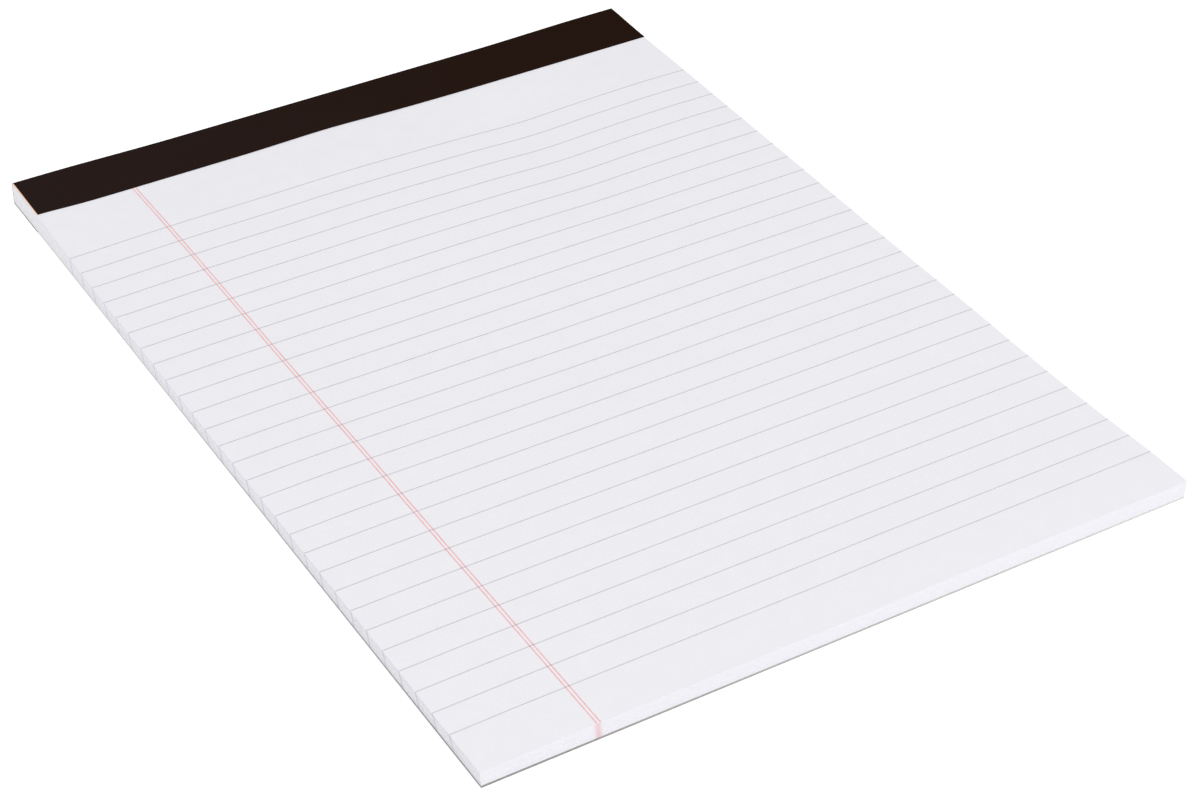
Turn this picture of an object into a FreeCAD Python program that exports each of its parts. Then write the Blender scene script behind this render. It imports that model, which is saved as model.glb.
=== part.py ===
"""Letter-size ruled writing pad that lies flat on its backing board.

The pad's head, with its folded binding strip, points to +Y and its left side, with the
margin lines, to -X. The origin is the middle of the pad on the surface it lies on.
"""
import FreeCAD, Part
import math
import os
import re

import Sketcher

# Driving sizes in millimetres, and the counts
SIZES = (
    ("pad_width", 215.9, "across the pad, trimmed flush through board, sheets and strip"),
    ("pad_length", 298.45, "from the foot to the outside of the folded strip at the head"),
    ("board_thick", 0.8, "chipboard backing"),
    ("sheet_count", 50, "sheets in the pad"),
    ("sheet_pitch", 0.122, "one sheet with the air that lies on it"),
    ("strip_thick", 0.15, "coated binding paper"),
    ("strip_front", 20.6, "reach of the strip over the top sheet"),
    ("strip_back", 19.0, "reach of the strip under the board"),
    ("staple_count", 2, "wire staples under the strip"),
    ("staple_spacing", 107.0, "from the middle of one staple to the next"),
    ("staple_inset", 9.5, "from the sheets' head edge to the staples"),
    ("staple_width", 12.7, "over the two legs"),
    ("staple_clinch", 5.0, "each leg's bent end under the board"),
    ("wire_thick", 0.5, "flat stitching wire, square in section"),
    ("wire_gap", 0.05, "room round the wire in paper and board"),
    ("strip_gap", 0.02, "room between the wire and the strip over it"),
    ("first_rule", 46.9, "from the head to the first rule"),
    ("rule_pitch", 8.8, "from one rule to the next"),
    ("foot_margin", 12.0, "least blank paper between the last rule and the foot"),
    ("rule_width", 0.25, "pale blue ruling"),
    ("rule_soak", 0.1, "depth of the ruling ink in the paper"),
    ("margin_inset", 31.3, "from the left side to the first margin line"),
    ("margin_step", 1.02, "from the first margin line to the second"),
    ("margin_width", 0.3, "red margin line"),
    ("margin_soak", 0.05, "depth of the margin ink, which lies over the rules"),
)
MARGIN_LINES = 2

# Places that several pieces share, as formulas of the sizes
SIDE = "pad_width / 2"
FOOT = "-pad_length / 2"
SHEET_HEAD = "(pad_length / 2 - strip_thick)"
SHEET_TOP = "(board_thick + sheet_count * sheet_pitch)"
STRIP_TOP = "(board_thick + sheet_count * sheet_pitch + strip_thick)"
STAPLE_PLACE = "staple_inset - pad_length / 2 + strip_thick"
STAPLE_START = "-staple_spacing * (staple_count - 1) / 2"
RULE_PLACE = "first_rule - pad_length / 2"
RULE_COUNT = "floor((pad_length - first_rule - foot_margin) / rule_pitch) + 1"

doc = FreeCAD.newDocument("writing_pad")
sheet = doc.addObject("Spreadsheet::Sheet", "sizes")


def fill_sizes():
    """Write each driving size into the sheet, with its name and meaning beside it."""
    for row, (name, value, meaning) in enumerate(SIZES, start=1):
        sheet.set(f"A{row}", name)
        sheet.set(f"B{row}", str(value))
        sheet.set(f"C{row}", meaning)
        sheet.setAlias(f"B{row}", name)
    doc.recompute()


def bound(formula):
    """Point every size that a formula names at its cell."""
    names = [name for name, value, meaning in SIZES]
    return re.sub(r"[a-z_]+", lambda word: f"sizes.{word[0]}" if word[0] in names else word[0], formula)


def new_body(label):
    """Start one piece of the pad, in the pad's own frame."""
    body = doc.addObject("PartDesign::Body", label)
    body.Label = label
    return body


def origin_part(body, role):
    """Find one of a body's own origin planes or axes."""
    return next(part for part in body.Origin.OriginFeatures if part.Role == role)


def new_sketch(body, name, role, out="0", across="0"):
    """Attach a sketch to an origin plane, moved out along its normal and across it."""
    sketch = body.newObject("Sketcher::SketchObject", name)
    sketch.AttachmentSupport = [(origin_part(body, role), "")]
    sketch.MapMode = "FlatFace"
    sketch.setExpression("AttachmentOffset.Base.z", bound(out))
    sketch.setExpression("AttachmentOffset.Base.x", bound(across))
    return sketch


def outline(sketch, corners):
    """Draw a closed straight-sided outline whose corners are held from the origin."""
    count = len(corners)
    turns = [2 * math.pi * number / count for number in range(count)]
    starts = [FreeCAD.Vector(math.cos(turn), math.sin(turn), 0) for turn in turns]
    for number in range(count):
        sketch.addGeometry(Part.LineSegment(starts[number], starts[(number + 1) % count]), False)
    for number in range(count):
        sketch.addConstraint(Sketcher.Constraint("Coincident", number, 2, (number + 1) % count, 1))
    for number, corner in enumerate(corners):
        for kind, formula, start in zip(("DistanceX", "DistanceY"), corner, starts[number]):
            index = sketch.addConstraint(Sketcher.Constraint(kind, -1, 1, number, 1, start))
            sketch.setExpression(f"Constraints[{index}]", bound(formula))


def extrude(body, kind, name, sketch, length):
    """Pad or pocket a sketch the same way to both sides of its plane."""
    feature = body.newObject(f"PartDesign::{kind}", name)
    feature.Profile = sketch
    feature.SideType = "Symmetric"
    feature.setExpression("Length", bound(length))
    return feature


def repeat(body, feature, name, role, step, count, reverse=False):
    """Repeat a feature along one of the body's axes."""
    pattern = body.newObject("PartDesign::LinearPattern", name)
    pattern.Originals = [feature]
    pattern.Direction = (origin_part(body, role), [""])
    pattern.Reversed = reverse
    pattern.Mode = "Spacing"
    pattern.setExpression("Offset", bound(step))
    pattern.setExpression("Occurrences", bound(count))
    body.Tip = pattern
    return pattern


def margin_place(line):
    """Middle of a margin line, across the pad."""
    return f"(margin_inset + {line} * margin_step - {SIDE})"


def staple_outline(room):
    """A clinched staple seen from the foot, grown all round by some room."""
    out = f"staple_width / 2 + {room}"
    leg = f"staple_width / 2 - wire_thick - {room}"
    tip = f"staple_width / 2 - staple_clinch - {room}"
    low = f"strip_thick + strip_gap - {room}"
    clinch = f"strip_thick + strip_gap + wire_thick + {room}"
    high = f"{SHEET_TOP} - strip_gap + {room}"
    crown = f"{SHEET_TOP} - strip_gap - wire_thick - {room}"
    right = [(out, high), (out, low), (tip, low), (tip, clinch), (leg, clinch), (leg, crown)]
    left = [(f"-({across})", up) for across, up in reversed(right)]
    return right + left


def cut_staples(body):
    """Cut the way that the staples press through a piece."""
    sketch = new_sketch(body, f"{body.Name}_wire_way", "XZ_Plane", STAPLE_PLACE, STAPLE_START)
    outline(sketch, staple_outline("wire_gap"))
    way = extrude(body, "Pocket", f"{body.Name}_wire_cut", sketch, "wire_thick + 2 * wire_gap")
    repeat(body, way, f"{body.Name}_wire_cuts", "X_Axis", "staple_spacing", "staple_count")


def rule_outline(notched):
    """One rule across the top and down both sides, notched where a margin line crosses it."""
    inner = f"{SIDE} - rule_soak"
    under = f"{SHEET_TOP} - rule_soak"
    corners = [(f"-{SIDE}", "board_thick"), (f"-{SIDE}", SHEET_TOP)]
    for line in range(MARGIN_LINES if notched else 0):
        left = f"{margin_place(line)} - margin_width / 2"
        right = f"{margin_place(line)} + margin_width / 2"
        floor = f"{SHEET_TOP} - margin_soak"
        corners += [(left, SHEET_TOP), (left, floor), (right, floor), (right, SHEET_TOP)]
    corners += [(SIDE, SHEET_TOP), (SIDE, "board_thick"), (inner, "board_thick")]
    corners += [(inner, under), (f"-({inner})", under), (f"-({inner})", "board_thick")]
    return corners


def margin_outline():
    """A margin line down the top sheet and over the foot edges, seen from the side."""
    under = f"{SHEET_TOP} - margin_soak"
    inner = f"{FOOT} + margin_soak"
    return [
        (FOOT, "board_thick"), (FOOT, SHEET_TOP), (SHEET_HEAD, SHEET_TOP),
        (SHEET_HEAD, under), (inner, under), (inner, "board_thick"),
    ]


def ink_rules(body, kind, notched):
    """Lay out all the rules, as ink or as the places that the ink fills."""
    sketch = new_sketch(body, f"{body.Name}_rule_profile", "XZ_Plane", RULE_PLACE)
    outline(sketch, rule_outline(notched))
    rule = extrude(body, kind, f"{body.Name}_rule", sketch, "rule_width")
    repeat(body, rule, f"{body.Name}_rules", "Y_Axis", "rule_pitch", RULE_COUNT, reverse=True)


def ink_margins(body, kind):
    """Lay out the margin lines, as ink or as the places that the ink fills."""
    sketch = new_sketch(body, f"{body.Name}_margin_profile", "YZ_Plane", margin_place(0))
    outline(sketch, margin_outline())
    line = extrude(body, kind, f"{body.Name}_margin", sketch, "margin_width")
    repeat(body, line, f"{body.Name}_margins", "X_Axis", "margin_step", str(MARGIN_LINES))


def round_edges(body, base, name, runs_along, places, radius):
    """Round the edges that run along one axis through the given places across it."""
    doc.recompute()
    names = []
    for number, edge in enumerate(base.Shape.Edges, start=1):
        start, end = edge.firstVertex().Point, edge.lastVertex().Point
        across = [axis for axis in range(3) if axis != runs_along]
        straight = all(abs(start[axis] - end[axis]) < 1e-6 for axis in across)
        here = [start[axis] for axis in across]
        if straight and any(math.dist(here, place) < 1e-6 for place in places):
            names.append(f"Edge{number}")
    rounding = body.newObject("PartDesign::Fillet", name)
    rounding.Base = (base, names)
    rounding.setExpression("Radius", bound(radius))
    return rounding


def backing_board():
    """Chipboard backing, thinned at the head where the strip is pressed into it."""
    body = new_body("backing_board")
    sketch = new_sketch(body, "board_profile", "YZ_Plane")
    seat = "pad_length / 2 - strip_back"
    outline(sketch, [
        (FOOT, "0"), (FOOT, "board_thick"), (SHEET_HEAD, "board_thick"),
        (SHEET_HEAD, "strip_thick"), (seat, "strip_thick"), (seat, "0"),
    ])
    extrude(body, "Pad", "board", sketch, "pad_width")
    cut_staples(body)
    return body


def sheet_block():
    """All the sheets as one block, with places for the ink and the staples."""
    body = new_body("sheet_block")
    sketch = new_sketch(body, "block_profile", "YZ_Plane")
    outline(sketch, [
        (FOOT, "board_thick"), (FOOT, SHEET_TOP), (SHEET_HEAD, SHEET_TOP), (SHEET_HEAD, "board_thick"),
    ])
    extrude(body, "Pad", "block", sketch, "pad_width")
    ink_rules(body, "Pocket", notched=False)
    ink_margins(body, "Pocket")
    cut_staples(body)
    return body


def binding_strip():
    """Strip folded tightly from the top sheet over the head to the back of the board."""
    body = new_body("binding_strip")
    sketch = new_sketch(body, "strip_profile", "YZ_Plane")
    head = "pad_length / 2"
    front = f"{head} - strip_front"
    back = f"{head} - strip_back"
    outline(sketch, [
        (front, SHEET_TOP), (front, STRIP_TOP), (head, STRIP_TOP), (head, "0"),
        (back, "0"), (back, "strip_thick"), (SHEET_HEAD, "strip_thick"), (SHEET_HEAD, SHEET_TOP),
    ])
    pad = extrude(body, "Pad", "strip", sketch, "pad_width")
    top = sheet.board_thick + sheet.sheet_count * sheet.sheet_pitch + sheet.strip_thick
    folds = [(sheet.pad_length / 2, 0), (sheet.pad_length / 2, top)]
    round_edges(body, pad, "strip_folds", 0, folds, "strip_thick")
    return body


def staples():
    """Clinched wire staples that hold the sheets to the board."""
    body = new_body("staples")
    sketch = new_sketch(body, "staple_profile", "XZ_Plane", STAPLE_PLACE, STAPLE_START)
    outline(sketch, staple_outline("0"))
    pad = extrude(body, "Pad", "staple", sketch, "wire_thick")
    middle = -sheet.staple_spacing * (sheet.staple_count - 1) / 2
    sides = [middle - sheet.staple_width / 2, middle + sheet.staple_width / 2]
    low = sheet.strip_thick + sheet.strip_gap
    high = sheet.board_thick + sheet.sheet_count * sheet.sheet_pitch - sheet.strip_gap
    bends = [(side, up) for side in sides for up in (low, high)]
    rounded = round_edges(body, pad, "staple_bends", 1, bends, "wire_thick")
    pattern = repeat(body, pad, "staple_row", "X_Axis", "staple_spacing", "staple_count")
    pattern.Originals = [pad, rounded]
    return body


def rule_lines():
    """Ruling ink on the top sheet, carried down both sides by the sheets under it."""
    body = new_body("rule_lines")
    ink_rules(body, "Pad", notched=True)
    return body


def margin_lines():
    """Margin ink on the top sheet, carried down the foot by the sheets under it."""
    body = new_body("margin_lines")
    ink_margins(body, "Pad")
    return body


def export(pieces):
    """Stop on a feature that failed or an empty piece, then write one file for each piece."""
    doc.recompute()
    for item in doc.Objects:
        if {"Invalid", "Error"} & set(item.State):
            raise RuntimeError(f"{item.Name} did not build: {item.State}")
    for piece in pieces:
        if piece.Shape.isNull() or not piece.Shape.isValid():
            raise RuntimeError(f"{piece.Label} has no valid shape")
    os.makedirs("parts", exist_ok=True)
    for piece in pieces:
        piece.Shape.exportStep(f"parts/{piece.Label}.step")
        box = piece.Shape.BoundBox
        print(f"{piece.Label}: {len(piece.Shape.Solids)} solids, {piece.Shape.Volume:.3f} mm3, "
              f"{box.XLength:.3f} x {box.YLength:.3f} x {box.ZLength:.3f} mm")


fill_sizes()
export([
    backing_board(),
    sheet_block(),
    binding_strip(),
    staples(),
    rule_lines(),
    margin_lines(),
])
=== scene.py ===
"""Letter-size ruled writing pad, dressed for the studio.

The pad lies on its backing board with the head, under the folded binding strip, towards +Y
and the margin lines on the -X side. Everything is in metres.
"""
import math
import random

import bmesh
import bpy
import numpy as np
from mathutils import Matrix, Vector

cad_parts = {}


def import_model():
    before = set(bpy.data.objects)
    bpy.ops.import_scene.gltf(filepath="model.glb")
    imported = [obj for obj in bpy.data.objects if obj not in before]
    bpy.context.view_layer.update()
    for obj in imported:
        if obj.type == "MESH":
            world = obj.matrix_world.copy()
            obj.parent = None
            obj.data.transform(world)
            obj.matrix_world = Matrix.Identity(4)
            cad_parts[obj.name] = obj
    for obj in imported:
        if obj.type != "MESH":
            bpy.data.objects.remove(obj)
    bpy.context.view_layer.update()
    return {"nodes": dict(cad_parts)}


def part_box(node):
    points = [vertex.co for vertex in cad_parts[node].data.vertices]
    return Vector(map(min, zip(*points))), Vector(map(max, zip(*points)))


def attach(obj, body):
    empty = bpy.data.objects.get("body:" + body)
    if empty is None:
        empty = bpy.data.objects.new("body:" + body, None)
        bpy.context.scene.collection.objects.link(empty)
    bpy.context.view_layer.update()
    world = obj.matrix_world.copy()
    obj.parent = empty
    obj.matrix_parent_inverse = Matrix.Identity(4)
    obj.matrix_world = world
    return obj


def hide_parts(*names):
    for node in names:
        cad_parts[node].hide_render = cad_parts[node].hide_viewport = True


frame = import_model()

MM = 0.001
SEED = 11

# Sizes read from the frame
BLOCK_LOW, BLOCK_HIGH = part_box("sheet_block")
STRIP_LOW, STRIP_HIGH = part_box("binding_strip")
BOARD_LOW, BOARD_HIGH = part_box("backing_board")
HALF_WIDTH = BLOCK_HIGH.x
FOOT = BLOCK_LOW.y
HEAD = BLOCK_HIGH.y
LENGTH = HEAD - FOOT
BOARD_TOP = BLOCK_LOW.z
PAPER_TOP = BLOCK_HIGH.z
STACK = PAPER_TOP - BOARD_TOP
STRIP_THICK = STRIP_HIGH.z - PAPER_TOP
STRIP_FRONT = STRIP_LOW.y
STRIP_REACH = STRIP_HIGH.y - STRIP_FRONT

# Sheets
SHEETS = 50
SHEET_PITCH = STACK / SHEETS
SHEET_THICK = 0.96 * SHEET_PITCH
SHEET_CELLS = (20, 28)
TOP_CELLS = (64, 88)
SHEET_TURN = 0.00008
SHEET_STRAY = 0.015 * MM

# Print, measured from the pad's own edges as on the real sheet
FIRST_RULE = STRIP_HIGH.y - 46.9 * MM
RULE_PITCH = 8.8 * MM
RULES = 28
RULE_WIDTH = 0.25 * MM
MARGIN_LEFT = -HALF_WIDTH + 31.3 * MM
MARGIN_STEP = 1.02 * MM
MARGIN_WIDTH = 0.34 * MM
INK_THICK = 0.012 * MM

# How far the margin runs askew over the pad's length, where it stands true, and its ticks' lean
MARGIN_SKEW = 0.5 * MM
MARGIN_TRUE = 40 * MM
MARGIN_LEAN = 0.18

# The soft ticks that the rules and the margin leave on the cut edges
RULE_TICK = 0.7 * MM
MARGIN_TICK = 1.6 * MM

# Swells across the top sheets in mm: height, middle and reach, and where along the pad they grow
SWELLS = ((0.8, -19, 32), (0.42, -68, 24), (-0.85, 46, 17))
SWELLS_GROW = (18, 88)
RIGHT_SWELL = (0.35, 92, 16)
RIGHT_SWELL_GROWS = (40, 80)
LEFT_DROOP = (-0.3, -108, 14)

# Rises and hollows in mm: height, then middle and reach across, then middle and reach along
PATCHES = ((-0.42, 4, 46, -12, 30), (0.3, -88, 26, -30, 22), (0.3, 92, 34, -54, 14))

# The rise along the foot in mm: height, middle and reach along, and where across the pad it grows
FOOT_RISE = (0.34, -138, 17)
FOOT_RISE_GROWS = (0, 30)

# The sheets are held flat up to 1 mm before the strip and lie free 24 mm before it
HELD_BEFORE_STRIP = 1
FREE_BEFORE_STRIP = 24

# The swell carried under the strip in mm: height, middle and reach across. It is full 5 mm before
# the strip's front edge and ends 14 mm behind it.
STRIP_SWELL = (0.5, -11, 18)
STRIP_SWELL_FULL = 5
STRIP_SWELL_ENDS = 14

# How fast swells die away down the stack
SWELL_FALL = 1.5

# How far the uppermost sheets have slid out of line, and where the slide to the left grows
SLIDE_LEFT = 0.7 * MM
SLIDE_LEFT_FOOT = 0.25 * MM
SLIDE_LEFT_GROWS = 60 * MM
SLIDE_FOOT = 1.2 * MM
SLIDE_FOOT_REACH = 11 * MM
RIGHT_HELD = 0.65
RIGHT_HELD_ALONG = (-20 * MM, 60 * MM)

# How far the whole lower right corner flares, with its middle and reach across and along in mm
CORNER_FLARE = 1.4 * MM
FLARE_ACROSS = (108, 60)
FLARE_ALONG = (-150, 36)

# The bound head: its sag in the middle, its raised ends and where the one turns into the other
HEAD_BOW = 0.61 * MM
HEAD_ENDS = 0.41 * MM
HEAD_TURN = (52 * MM, 98 * MM)

# The binding strip's folds and its reach on the back
STRIP_CELLS = (48, 10)
FOLD_RADIUS = 0.45 * MM
FOLD_SEGMENTS = 5
BACK_REACH = 19 * MM

# The strip's cut ends: how far they stand out, are trimmed at the left and are dragged down, and
# how far a rim face is turned to the side before it shows the kraft
END_OVERHANG = 0.04 * MM
TRIMMED_END = 0.4 * MM
DRAGGED_EDGE = 0.3 * MM
KRAFT_TURN = 0.4

# The strip's front edge: its lift in waves, and how far it stands forward along its length
STRIP_LIFT = 0.08 * MM
LIFT_REACH = 3 * MM
LIFT_WAVE = 31 * MM
LIFT_MEAN = 0.6
FRONT_FORWARD = 0.5 * MM
FRONT_RIGHT = 0.65 * MM
FRONT_RIGHT_ALONG = (-10 * MM, 45 * MM)
FRONT_LEFT_BACK = 0.95 * MM
FRONT_LEFT_REACH = 11 * MM
FRONT_REACH = 8 * MM

# Board
BOARD_CELLS = (24, 32)
CRUSHED_EDGE = 0.06 * MM
THINNING_REACH = 6 * MM

# Room for error when a place is tested, and the angle up to which shading stays smooth
TOUCH = 0.001 * MM
NEAR = 0.01 * MM
ABOVE_PAPER = 0.05 * MM
SMOOTH_ANGLE = 40


def deselect():
    """Go to object mode with nothing selected."""
    if bpy.context.object and bpy.context.object.mode != "OBJECT":
        bpy.ops.object.mode_set(mode="OBJECT")
    bpy.ops.object.select_all(action="DESELECT")


def pick(piece):
    """Select one piece alone, so that an operator acts on it."""
    deselect()
    piece.select_set(True)
    bpy.context.view_layer.objects.active = piece


def flat_grid(name, cells, size, middle):
    """A flat grid with its cells and size given across and along the pad."""
    deselect()
    bpy.ops.mesh.primitive_grid_add(
        x_subdivisions=cells[0], y_subdivisions=cells[1], size=1, location=middle)
    grid = bpy.context.object
    grid.name = name
    grid.scale = (size[0], size[1], 1)
    pick(grid)
    bpy.ops.object.transform_apply(location=True, rotation=True, scale=True)
    return grid


def thicken(piece, thickness, rim=0):
    """Give a flat piece thickness below it; its rim takes the material that many places on."""
    solid = piece.modifiers.new("thickness", "SOLIDIFY")
    solid.thickness = thickness
    solid.offset = -1
    solid.material_offset_rim = rim


def apply_modifiers(piece):
    """Finish a piece's modifiers."""
    pick(piece)
    for modifier in list(piece.modifiers):
        bpy.ops.object.modifier_apply(modifier=modifier.name)


def points_of(piece):
    """A mesh's points as rows of x, y, z."""
    flat = np.empty(len(piece.data.vertices) * 3)
    piece.data.vertices.foreach_get("co", flat)
    return flat.reshape(-1, 3)


def move_points(piece, points):
    """Write moved points back to a mesh."""
    piece.data.vertices.foreach_set("co", points.ravel())
    piece.data.update()


def smooth(piece):
    """Smooth a piece's shading, apart from its sharp edges."""
    pick(piece)
    bpy.ops.object.shade_smooth_by_angle(angle=math.radians(SMOOTH_ANGLE))


def joined(name, pieces):
    """Join pieces into one mesh."""
    deselect()
    for piece in pieces:
        piece.select_set(True)
    bpy.context.view_layer.objects.active = pieces[0]
    bpy.ops.object.join()
    pieces[0].name = name
    return pieces[0]


def select_edges(piece, wanted):
    """In edit mode, select just the edges across the piece whose ends pass a test on y."""
    bpy.ops.mesh.select_mode(type="EDGE")
    bpy.ops.mesh.select_all(action="DESELECT")
    mesh = bmesh.from_edit_mesh(piece.data)
    for edge in mesh.edges:
        ends = [vertex.co for vertex in edge.verts]
        across = abs(ends[0].y - ends[1].y) + abs(ends[0].z - ends[1].z) < TOUCH
        edge.select_set(across and all(wanted(end.y) for end in ends))
    bmesh.update_edit_mesh(piece.data)


def put_on(piece, *materials):
    """Give a piece its materials."""
    piece.data.materials.clear()
    for material in materials:
        piece.data.materials.append(material)


def finish_piece(piece, slot, *nodes):
    """Attach a finished piece to the root, and hide the frame's parts that it replaces."""
    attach(piece, "root")
    if nodes:
        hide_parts(*nodes)


# How the sheets lie: a handful of shallow swells and dips in the top sheets

def bump(distance, reach):
    """A smooth rise of height 1 that dies away beyond its reach."""
    return np.exp(-(distance / reach) ** 2)


def ramp(value, start, end):
    """0 at the start, 1 at the end, with a soft turn at both."""
    share = np.clip((value - start) / (end - start), 0, 1)
    return share * share * (3 - 2 * share)


def wave(place, shape):
    """A swell given by its height, its middle and its reach."""
    height, middle, reach = shape
    return height * bump(place - middle, reach)


def top_height(x, y):
    """How far the top sheet stands above its flat place, in metres."""
    x, y = x / MM, y / MM
    edge = STRIP_FRONT / MM
    free = ramp(y, edge - HELD_BEFORE_STRIP, edge - FREE_BEFORE_STRIP)
    swell = sum(wave(x, shape) for shape in SWELLS) + wave(x, RIGHT_SWELL) * ramp(y, *RIGHT_SWELL_GROWS)
    height = ramp(y, *SWELLS_GROW) * swell + wave(x, LEFT_DROOP)
    for rise, across, across_reach, along, along_reach in PATCHES:
        height += rise * bump(x - across, across_reach) * bump(y - along, along_reach)
    height += ramp(x, *FOOT_RISE_GROWS) * wave(y, FOOT_RISE)
    return height * free * MM


def strip_swell(x, y):
    """The swell that the top sheets carry on under the strip's front edge."""
    x, y = x / MM, y / MM
    edge = STRIP_FRONT / MM
    grown = ramp(y, edge - FREE_BEFORE_STRIP, edge - STRIP_SWELL_FULL)
    fallen = ramp(-y, -edge - STRIP_SWELL_ENDS, -edge)
    return wave(x, STRIP_SWELL) * grown * fallen * MM


def head_bow(x, y):
    """The bound head: raised at its two ends and sagging between them."""
    sag = HEAD_ENDS - HEAD_BOW * (1 - ramp(np.abs(x), *HEAD_TURN))
    return sag * ramp(y, STRIP_FRONT, HEAD)


def flare(x, y):
    """How far the lower right corner stands out to the right."""
    across, across_reach = FLARE_ACROSS
    along, along_reach = FLARE_ALONG
    return CORNER_FLARE * bump(x / MM - across, across_reach) * bump(y / MM - along, along_reach)


def left_slide(y):
    """How far the top sheet has slid to the left."""
    below_strip = ramp(-y, -STRIP_FRONT, -STRIP_FRONT + SLIDE_LEFT_GROWS)
    return SLIDE_LEFT * below_strip + SLIDE_LEFT_FOOT * ((HEAD - y) / LENGTH) ** 4


def right_hold(x, y):
    """Where the right edge stays behind as the sheets slide left: 1 along it beside the upper half."""
    return ramp(x, 0, HALF_WIDTH) * ramp(y, *RIGHT_HELD_ALONG)


def lay(points):
    """Carry flat points of the sheets to where the stack's swells and its slight slide put them."""
    x, y, z = points.T
    level = np.clip((z - BOARD_TOP) / STACK, 0, 1)
    moved = points.copy()
    moved[:, 2] = z + (top_height(x, y) + head_bow(x, y) + strip_swell(x, y)) * level ** SWELL_FALL
    moved[:, 0] = x - left_slide(y) * level * (1 - RIGHT_HELD * right_hold(x, y)) + flare(x, y)
    moved[:, 1] = y - SLIDE_FOOT * level * ramp(-y, -FOOT - SLIDE_FOOT_REACH, -FOOT)
    return moved


# Materials

def linear(colour):
    """An sRGB hex colour as linear red, green, blue and alpha."""
    values = [int(colour[place:place + 2], 16) / 255 for place in (0, 2, 4)]
    return [v / 12.92 if v <= 0.04045 else ((v + 0.055) / 1.055) ** 2.4 for v in values] + [1]


def add_node(tree, kind, inputs=(), **settings):
    """Add a node with its settings; an input is a plain value or another node's output."""
    node = tree.nodes.new(kind)
    for name, value in settings.items():
        setattr(node, name, value)
    for key, value in dict(inputs).items():
        if isinstance(value, bpy.types.NodeSocket):
            tree.links.new(value, node.inputs[key])
        else:
            node.inputs[key].default_value = value
    return node


def noise(tree, place, size, detail):
    """Cloudy noise whose patches are about this size."""
    cloud = add_node(tree, "ShaderNodeTexNoise", {"Vector": place, "Scale": 1 / size, "Detail": detail})
    return cloud.outputs[0]


def sum_up(tree, operation, *values):
    """The result of one step of arithmetic on one or two values."""
    return add_node(tree, "ShaderNodeMath", dict(enumerate(values)), operation=operation).outputs[0]


def spread(tree, value, low, high, start=0.0, end=1.0, turn="LINEAR"):
    """The start where the value is low, the end where it is high, and between them in between."""
    limits = {"Value": value, "From Min": low, "From Max": high, "To Min": start, "To Max": end}
    return add_node(tree, "ShaderNodeMapRange", limits, interpolation_type=turn).outputs[0]


def blend(tree, share, first, second):
    """The first colour turning into the second as the share goes from 0 to 1."""
    mix = add_node(tree, "ShaderNodeMix", {0: share, 6: first, 7: second}, data_type="RGBA")
    return mix.outputs[2]


def along_axis(tree, place, number):
    """The place along one axis: 0 across the pad, 1 along it."""
    return add_node(tree, "ShaderNodeSeparateXYZ", {0: place}).outputs[number]


def along_slope(tree, place, slope):
    """The place measured along a slope."""
    measure = add_node(tree, "ShaderNodeVectorMath", {0: place, 1: slope}, operation="DOT_PRODUCT")
    return measure.outputs["Value"]


def new_material(name):
    """An empty material with its output, its shader and the place on the piece."""
    material = bpy.data.materials.new(name)
    material.use_nodes = True
    tree = material.node_tree
    tree.nodes.clear()
    output = add_node(tree, "ShaderNodeOutputMaterial")
    shader = add_node(tree, "ShaderNodeBsdfPrincipled")
    tree.links.new(shader.outputs[0], output.inputs[0])
    place = add_node(tree, "ShaderNodeTexCoord").outputs["Object"]
    return material, tree, shader, place


def set_surface(tree, shader, colour, roughness, gloss):
    """Set a shader's colour, its roughness and its gloss."""
    tree.links.new(colour, shader.inputs["Base Color"])
    shader.inputs["Roughness"].default_value = roughness
    shader.inputs["Specular IOR Level"].default_value = gloss


def set_relief(tree, shader, height, depth, strength):
    """Let a height stand out of the surface."""
    relief = add_node(
        tree, "ShaderNodeBump", {"Height": height, "Distance": depth, "Strength": strength})
    tree.links.new(relief.outputs[0], shader.inputs["Normal"])


PAPER_TINT = "EFEEF3"


def paper_colour(tree, shader, place, shade, depth):
    """Uncoated paper: cloudy formation and fine fibres, which also stand out of it a little."""
    clouds = noise(tree, place, 7 * MM, 3)
    fibres = noise(tree, place, 0.9 * MM, 4)
    share = spread(tree, sum_up(tree, "MULTIPLY", clouds, fibres), 0.05, 0.5)
    set_relief(tree, shader, fibres, depth, 0.35)
    return blend(tree, share, linear(shade), linear(PAPER_TINT))


def writing_paper():
    """White uncoated writing paper, faintly blue-white, with soft cloudy formation."""
    material, tree, shader, place = new_material("white_writing_paper")
    colour = paper_colour(tree, shader, place, "EBEAEF", 0.02 * MM)
    set_surface(tree, shader, colour, roughness=0.88, gloss=0.25)
    return material


def ink_share(tree, along, first, step, count, width):
    """1 in the middle of each of a row of printed lines, falling softly to 0 at its sides."""
    steps = sum_up(tree, "DIVIDE", sum_up(tree, "SUBTRACT", along, first), step)
    nearest = sum_up(tree, "MAXIMUM", sum_up(tree, "ROUND", steps), 0)
    held = sum_up(tree, "MINIMUM", nearest, count - 1)
    off = sum_up(tree, "ABSOLUTE", sum_up(tree, "SUBTRACT", steps, held))
    return spread(tree, off, 0, width / abs(step), start=1, end=0, turn="SMOOTHSTEP")


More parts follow.
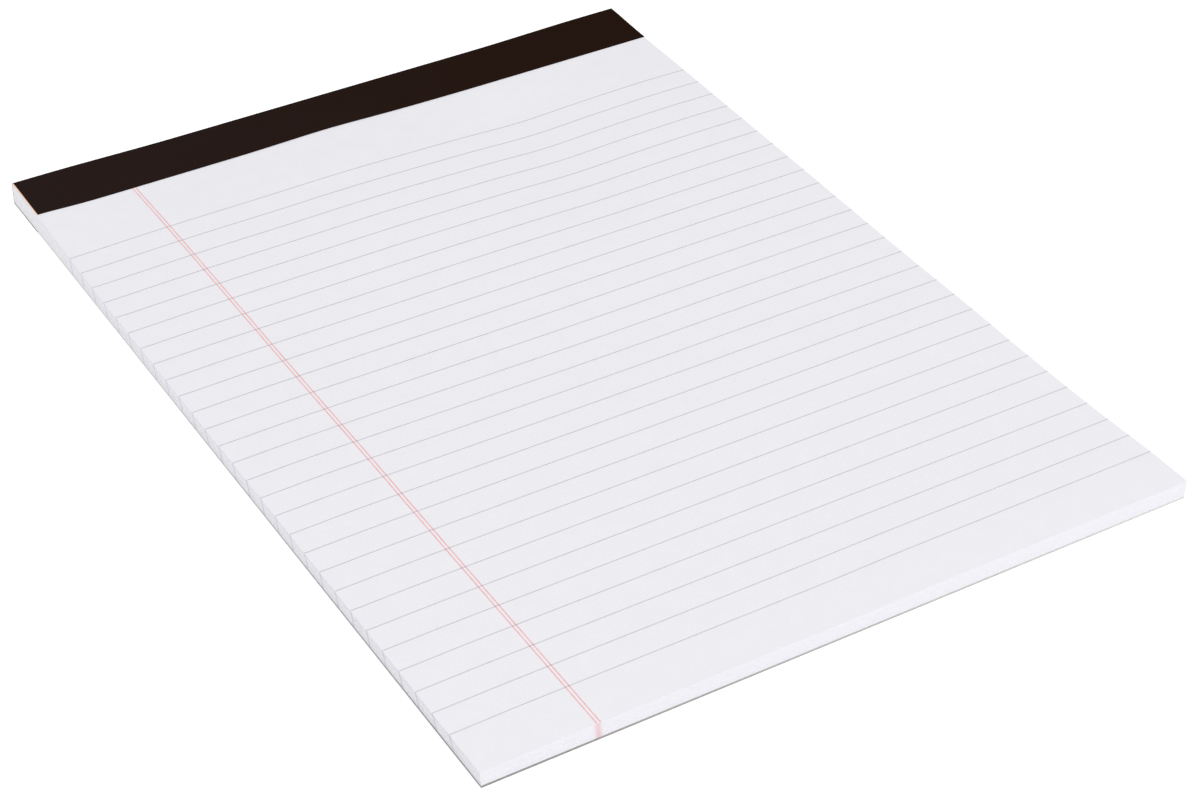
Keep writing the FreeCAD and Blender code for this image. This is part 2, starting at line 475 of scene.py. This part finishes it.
def page_edges():
    """Guillotined edges of the sheets: each rule and margin line bleeds to them as a faint tick."""
    material, tree, shader, place = new_material("cut_page_edges")
    paper = paper_colour(tree, shader, place, "ECECF1", 0.007 * MM)
    rules = ink_share(tree, along_axis(tree, place, 1), FIRST_RULE, -RULE_PITCH, RULES, RULE_TICK)
    middle = MARGIN_LEFT + MARGIN_STEP / 2 + MARGIN_LEAN * PAPER_TOP
    leaning = along_slope(tree, place, (1, 0, MARGIN_LEAN))
    margins = ink_share(tree, leaning, middle, MARGIN_STEP, 1, MARGIN_TICK)
    blue = blend(tree, rules, paper, linear("D6D8E0"))
    colour = blend(tree, margins, blue, linear("EACFD5"))
    set_surface(tree, shader, colour, roughness=0.88, gloss=0.25)
    return material


def offset_ink(tree, place, colour, pale):
    """Thin offset ink: stronger and paler by turns where the paper took it unevenly."""
    share = spread(tree, noise(tree, place, 1.6 * MM, 3), 0.3, 0.7)
    return blend(tree, share, linear(colour), linear(pale))


def red_ink():
    """Pale coral red ink of the margin lines."""
    material, tree, shader, place = new_material("red_margin_ink")
    colour = offset_ink(tree, place, "EEAFAF", "F4C2C2")
    set_surface(tree, shader, colour, roughness=0.85, gloss=0.25)
    return material


def blue_ink():
    """Pale grey-blue ruling ink, a little fainter to the foot and mauve over the red lines."""
    material, tree, shader, place = new_material("blue_ruling_ink")
    ink = offset_ink(tree, place, "BBBABF", "C8C7CC")
    fading = spread(tree, along_axis(tree, place, 1), 60 * MM, FOOT, end=0.18)
    printed = blend(tree, fading, ink, linear(PAPER_TINT))
    across = along_slope(tree, place, (1, MARGIN_SKEW / LENGTH, 0))
    first = MARGIN_LEFT + MARGIN_SKEW * MARGIN_TRUE / LENGTH
    crossing = ink_share(tree, across, first, MARGIN_STEP, 2, MARGIN_WIDTH)
    colour = blend(tree, crossing, printed, linear("AE8F98"))
    set_surface(tree, shader, colour, roughness=0.85, gloss=0.25)
    return material


def strip_paper():
    """Matt coated binding paper with a fine grain, brown-black, greyer to the left in a painted sheen
    and browner to the right.
    """
    material, tree, shader, place = new_material("black_binding_paper")
    grain = noise(tree, place, 0.5 * MM, 4)
    clouds = noise(tree, place, 18 * MM, 2)
    # The greyer left end is a painted sheen: the colour runs from grey-brown at the left to warm brown
    # at the right.
    across = spread(
        tree, along_axis(tree, place, 0), -HALF_WIDTH, HALF_WIDTH, start=-0.15, end=0.85)
    patchy = sum_up(tree, "MULTIPLY", sum_up(tree, "ADD", clouds, grain), 0.3)
    share = sum_up(tree, "ADD", across, patchy)
    colour = blend(tree, share, linear("241917"), linear("1F0E05"))
    set_surface(tree, shader, colour, roughness=0.7, gloss=0.02)
    set_relief(tree, shader, grain, 0.03 * MM, 0.4)
    return material


def kraft_core():
    """The uncoated kraft inside the binding paper, orange-brown and fibrous where it is cut."""
    material, tree, shader, place = new_material("kraft_core")
    fibres = noise(tree, place, 0.4 * MM, 4)
    colour = blend(tree, fibres, linear("D9955C"), linear("EDB583"))
    set_surface(tree, shader, colour, roughness=0.9, gloss=0.2)
    return material


def chipboard():
    """Recycled chipboard: grey, mottled, with darker fibres pressed flat."""
    material, tree, shader, place = new_material("grey_chipboard")
    lengths = (1 / (3 * MM), 1 / (0.5 * MM), 1 / MM)
    stretched = add_node(tree, "ShaderNodeMapping", {"Vector": place, "Scale": lengths}).outputs[0]
    fibres = noise(tree, stretched, 1, 5)
    ground = blend(tree, noise(tree, place, 5 * MM, 6), linear("A5A1A0"), linear("BAB6B4"))
    flecks = spread(tree, fibres, 0.56, 0.72, end=0.6)
    colour = blend(tree, flecks, ground, linear("827C79"))
    set_surface(tree, shader, colour, roughness=0.92, gloss=0.2)
    set_relief(tree, shader, fibres, 0.05 * MM, 0.5)
    return material


def cut_board():
    """The board's cut edge: crushed grey fibres, dark at the lower left corner and painted paler away
    from it as painted light.
    """
    material, tree, shader, place = new_material("cut_chipboard_edge")
    fibres = noise(tree, place, 0.8 * MM, 5)
    darker_grey_edge = blend(tree, fibres, linear("8A8786"), linear("A8A5A3"))
    pale = blend(tree, fibres, linear("D0CDCC"), linear("E2E0DF"))
    # Painted light: the edge turns paler the farther it is from the lower left corner, as if it caught
    # the light there.
    corner = (-HALF_WIDTH, FOOT, 0)
    far = add_node(tree, "ShaderNodeVectorMath", {0: place, 1: corner}, operation="DISTANCE")
    share = spread(tree, far.outputs["Value"], 20 * MM, 210 * MM)
    colour = blend(tree, share, darker_grey_edge, pale)
    set_surface(tree, shader, colour, roughness=0.95, gloss=0.15)
    set_relief(tree, shader, fibres, 0.05 * MM, 0.4)
    return material


def stitching_wire():
    """Bright drawn steel wire with a fine grain."""
    material, tree, shader, place = new_material("drawn_steel_wire")
    colour = blend(tree, noise(tree, place, 0.2 * MM, 2), linear("A9A9AB"), linear("C9C9CB"))
    tree.links.new(colour, shader.inputs["Base Color"])
    shader.inputs["Metallic"].default_value = 1
    shader.inputs["Roughness"].default_value = 0.35
    return material


# Pieces

def flat_sheet(name, cells):
    """One sheet at the top of the stack, as a closed thin solid."""
    sheet = flat_grid(name, cells, (2 * HALF_WIDTH, LENGTH), (0, (FOOT + HEAD) / 2, PAPER_TOP))
    thicken(sheet, SHEET_THICK)
    apply_modifiers(sheet)
    return sheet


def top_sheet():
    """The ruled sheet on top, with its own swells."""
    sheet = flat_sheet("top_sheet", TOP_CELLS)
    move_points(sheet, lay(points_of(sheet)))
    put_on(sheet, writing_paper())
    smooth(sheet)
    return sheet


def lower_sheets():
    """The other sheets, each copied from one, a touch out of line and laid in the stack."""
    dice = random.Random(SEED)
    first = flat_sheet("lower_sheets", SHEET_CELLS)
    flat = points_of(first)
    sheets = [first]
    while len(sheets) < SHEETS - 1:
        sheet = first.copy()
        sheet.data = first.data.copy()
        bpy.context.scene.collection.objects.link(sheet)
        sheets.append(sheet)
    for number, sheet in enumerate(sheets, 1):
        points = flat.copy()
        points[:, 2] -= number * SHEET_PITCH
        turn = dice.gauss(0, SHEET_TURN)
        points[:, 0] += dice.gauss(0, SHEET_STRAY) + turn * (HEAD - points[:, 1])
        points[:, 1] += dice.gauss(0, SHEET_STRAY) * ramp(-points[:, 1], 0, -FOOT)
        move_points(sheet, lay(points))
    block = joined("lower_sheets", sheets)
    put_on(block, page_edges())
    smooth(block)
    return block


def bend_strip(points):
    """Lay the folded strip on the head: its lifted, uneven front edge and its two cut ends."""
    x, y, z = points.T
    level = ramp(z, BOARD_TOP, PAPER_TOP)
    waves = LIFT_MEAN + (1 - LIFT_MEAN) * np.cos(x / LIFT_WAVE)
    lift = STRIP_LIFT * ramp(-y, -STRIP_FRONT - LIFT_REACH, -STRIP_FRONT) * waves
    cut_end = (np.abs(x) > HALF_WIDTH) * (z > PAPER_TOP - NEAR) * (z < PAPER_TOP + ABOVE_PAPER)
    trimmed = (x < -HALF_WIDTH) * (z > PAPER_TOP + ABOVE_PAPER)
    forward = FRONT_FORWARD + FRONT_RIGHT * ramp(x, *FRONT_RIGHT_ALONG)
    forward = forward - FRONT_LEFT_BACK * bump(x + HALF_WIDTH, FRONT_LEFT_REACH)
    bent = points.copy()
    bent[:, 0] = x + TRIMMED_END * trimmed
    bent[:, 1] = y - forward * level * ramp(-y, -STRIP_FRONT - FRONT_REACH, -STRIP_FRONT)
    bent[:, 2] = z + (head_bow(x, y) + strip_swell(x, y) + lift) * level - DRAGGED_EDGE * cut_end
    return bent


def binding_strip():
    """One strip of paper folded over the head: top flap, back of the head and under flap."""
    size = (2 * (HALF_WIDTH + END_OVERHANG), STRIP_REACH)
    middle = (0, (STRIP_FRONT + STRIP_HIGH.y) / 2, STRIP_HIGH.z)
    strip = flat_grid("folded_strip", STRIP_CELLS, size, middle)
    put_on(strip, strip_paper(), kraft_core())
    bpy.ops.object.mode_set(mode="EDIT")
    select_edges(strip, lambda y: y > STRIP_HIGH.y - NEAR)
    for step in ((0, 0, BOARD_LOW.z - STRIP_HIGH.z), (0, -BACK_REACH, 0)):
        bpy.ops.mesh.extrude_region_move(TRANSFORM_OT_translate={"value": step})
    select_edges(strip, lambda y: y > STRIP_HIGH.y - NEAR)
    bpy.ops.mesh.bevel(offset=FOLD_RADIUS, segments=FOLD_SEGMENTS, affect="EDGES")
    bpy.ops.object.mode_set(mode="OBJECT")
    thicken(strip, STRIP_THICK, rim=1)
    apply_modifiers(strip)
    move_points(strip, bend_strip(points_of(strip)))
    for face in strip.data.polygons:
        at_end = abs(face.normal.x) > KRAFT_TURN and face.center.z > STACK / 2
        face.material_index = int(face.material_index == 1 and at_end)
    smooth(strip)
    return strip


def board():
    """The chipboard backing, thinned under the strip's lower flap."""
    size = (2 * HALF_WIDTH, BOARD_HIGH.y - BOARD_LOW.y)
    middle = (0, (BOARD_LOW.y + BOARD_HIGH.y) / 2, BOARD_TOP)
    plate = flat_grid("chipboard_back", BOARD_CELLS, size, middle)
    put_on(plate, chipboard(), cut_board())
    thicken(plate, BOARD_TOP - BOARD_LOW.z, rim=1)
    edge = plate.modifiers.new("crushed edge", "BEVEL")
    edge.width = CRUSHED_EDGE
    edge.segments = 2
    apply_modifiers(plate)
    points = points_of(plate)
    x, y, z = points.T
    flap = STRIP_HIGH.y - BACK_REACH
    under = (z < BOARD_TOP / 2) * ramp(y, flap - THINNING_REACH, flap)
    points[:, 0] = x + flare(x, y)
    points[:, 2] = z + STRIP_THICK * under
    move_points(plate, points)
    smooth(plate)
    return plate


def ink_line(middle, size, cells):
    """One printed line as a thin closed ribbon just on the top sheet."""
    line = flat_grid("ink_line", cells, size, (middle[0], middle[1], PAPER_TOP + 2 * INK_THICK))
    thicken(line, INK_THICK)
    apply_modifiers(line)
    return line


def rule_ink():
    """The ruling across the top sheet."""
    middles = [(0, FIRST_RULE - number * RULE_PITCH) for number in range(RULES)]
    size = (2 * HALF_WIDTH, RULE_WIDTH)
    rules = joined("rule_ink", [ink_line(middle, size, (TOP_CELLS[0], 1)) for middle in middles])
    points = points_of(rules)
    points[:, 2] += INK_THICK
    move_points(rules, lay(points))
    put_on(rules, blue_ink())
    return rules


def margin_ink():
    """The double red margin down the top sheet, under the rules and straight although it slid."""
    length = STRIP_FRONT - FOOT
    size = (MARGIN_WIDTH, length)
    middles = [(MARGIN_LEFT + number * MARGIN_STEP, FOOT + length / 2) for number in range(2)]
    margins = joined("margin_ink", [ink_line(middle, size, (1, TOP_CELLS[1])) for middle in middles])
    points = points_of(margins)
    points[:, 0] += left_slide(points[:, 1]) + MARGIN_SKEW * (MARGIN_TRUE - points[:, 1]) / LENGTH
    move_points(margins, lay(points))
    put_on(margins, red_ink())
    return margins


# Studio
FLOOR_SIZE = 6
FLOOR_GLOW = 0.45
WORLD_LIGHT = 0.797


def white_surround(tree, lit, white):
    """White as the camera sees it, straight or in gloss or glass, and lit by the other shader."""
    path = add_node(tree, "ShaderNodeLightPath").outputs
    seen = sum_up(tree, "MAXIMUM", path["Is Camera Ray"], path["Is Glossy Ray"])
    through = sum_up(tree, "MAXIMUM", seen, path["Is Transmission Ray"])
    return add_node(tree, "ShaderNodeMixShader", {0: through, 1: lit, 2: white}).outputs[0]


def floor():
    """Plain pale floor that keeps the pad's shadow and looks white to the camera."""
    deselect()
    bpy.ops.mesh.primitive_plane_add(size=FLOOR_SIZE, location=(0, 0, 0))
    plane = bpy.context.object
    plane.name = "studio_floor"
    material = bpy.data.materials.new("pale_floor")
    material.use_nodes = True
    tree = material.node_tree
    tree.nodes.clear()
    output = add_node(tree, "ShaderNodeOutputMaterial")
    matt = add_node(tree, "ShaderNodeBsdfDiffuse", {0: linear("EDEDED")})
    glow = add_node(tree, "ShaderNodeEmission", {0: linear("FFFFFF"), 1: FLOOR_GLOW})
    lifted = add_node(tree, "ShaderNodeAddShader", {0: matt.outputs[0], 1: glow.outputs[0]})
    tree.links.new(white_surround(tree, matt.outputs[0], lifted.outputs[0]), output.inputs[0])
    plane.data.materials.append(material)


def world():
    """White to the camera, and an even soft light on the pad."""
    surround = bpy.data.worlds.new("white_studio")
    bpy.context.scene.world = surround
    surround.use_nodes = True
    tree = surround.node_tree
    tree.nodes.clear()
    output = add_node(tree, "ShaderNodeOutputWorld")
    soft = add_node(tree, "ShaderNodeBackground", {0: linear("FFFFFF"), 1: WORLD_LIGHT})
    white = add_node(tree, "ShaderNodeBackground", {0: linear("FFFFFF"), 1: 1.0})
    tree.links.new(white_surround(tree, soft.outputs[0], white.outputs[0]), output.inputs[0])


def lamp(name, place, size, power):
    """A white soft box aimed at the middle of the pad."""
    data = bpy.data.lights.new(name, "AREA")
    data.size = size
    data.energy = power
    box = bpy.data.objects.new(name, data)
    box.location = place
    box.rotation_euler = (-Vector(place)).to_track_quat("-Z", "Y").to_euler()
    bpy.context.scene.collection.objects.link(box)


# Camera, worked out from the pad's outline and rules in the photograph
PHOTO_WIDTH = 1200
FOCAL_PIXELS = 2903
SENSOR_WIDTH = 36
CAMERA_PLACE = (-0.3419, -0.5928, 0.4923)
CAMERA_HEADING = -31.02
CAMERA_TILT = -36.85
CAMERA_ROLL = 0.23


def camera():
    """The photograph's view: from the lower left corner of the pad, looking to its head."""
    data = bpy.data.cameras.new("photo_camera")
    data.sensor_width = SENSOR_WIDTH
    data.lens = FOCAL_PIXELS / PHOTO_WIDTH * SENSOR_WIDTH
    data.clip_start = 0.01
    view = bpy.data.objects.new("photo_camera", data)
    heading = Matrix.Rotation(math.radians(CAMERA_HEADING), 4, "Z")
    tilt = Matrix.Rotation(math.radians(90 + CAMERA_TILT), 4, "X")
    roll = Matrix.Rotation(math.radians(CAMERA_ROLL), 4, "Z")
    view.matrix_world = Matrix.Translation(CAMERA_PLACE) @ heading @ tilt @ roll
    bpy.context.scene.collection.objects.link(view)
    bpy.context.scene.camera = view


finish_piece(top_sheet(), "white_paper")
finish_piece(lower_sheets(), "white_paper", "sheet_block")
finish_piece(rule_ink(), "blue_ruling_ink", "rule_lines")
finish_piece(margin_ink(), "red_margin_ink", "margin_lines")
finish_piece(binding_strip(), "black_strip_paper", "binding_strip")
finish_piece(board(), "chipboard", "backing_board")
put_on(frame["nodes"]["staples"], stitching_wire())

floor()
world()
lamp("key_softbox", place=(0.6, -1.7, 0.9), size=1.6, power=13.6)
lamp("fill_softbox", place=(-1.6, -0.2, 0.8), size=1.6, power=6.3)
camera()
bpy.context.scene.view_settings.view_transform = "Standard"
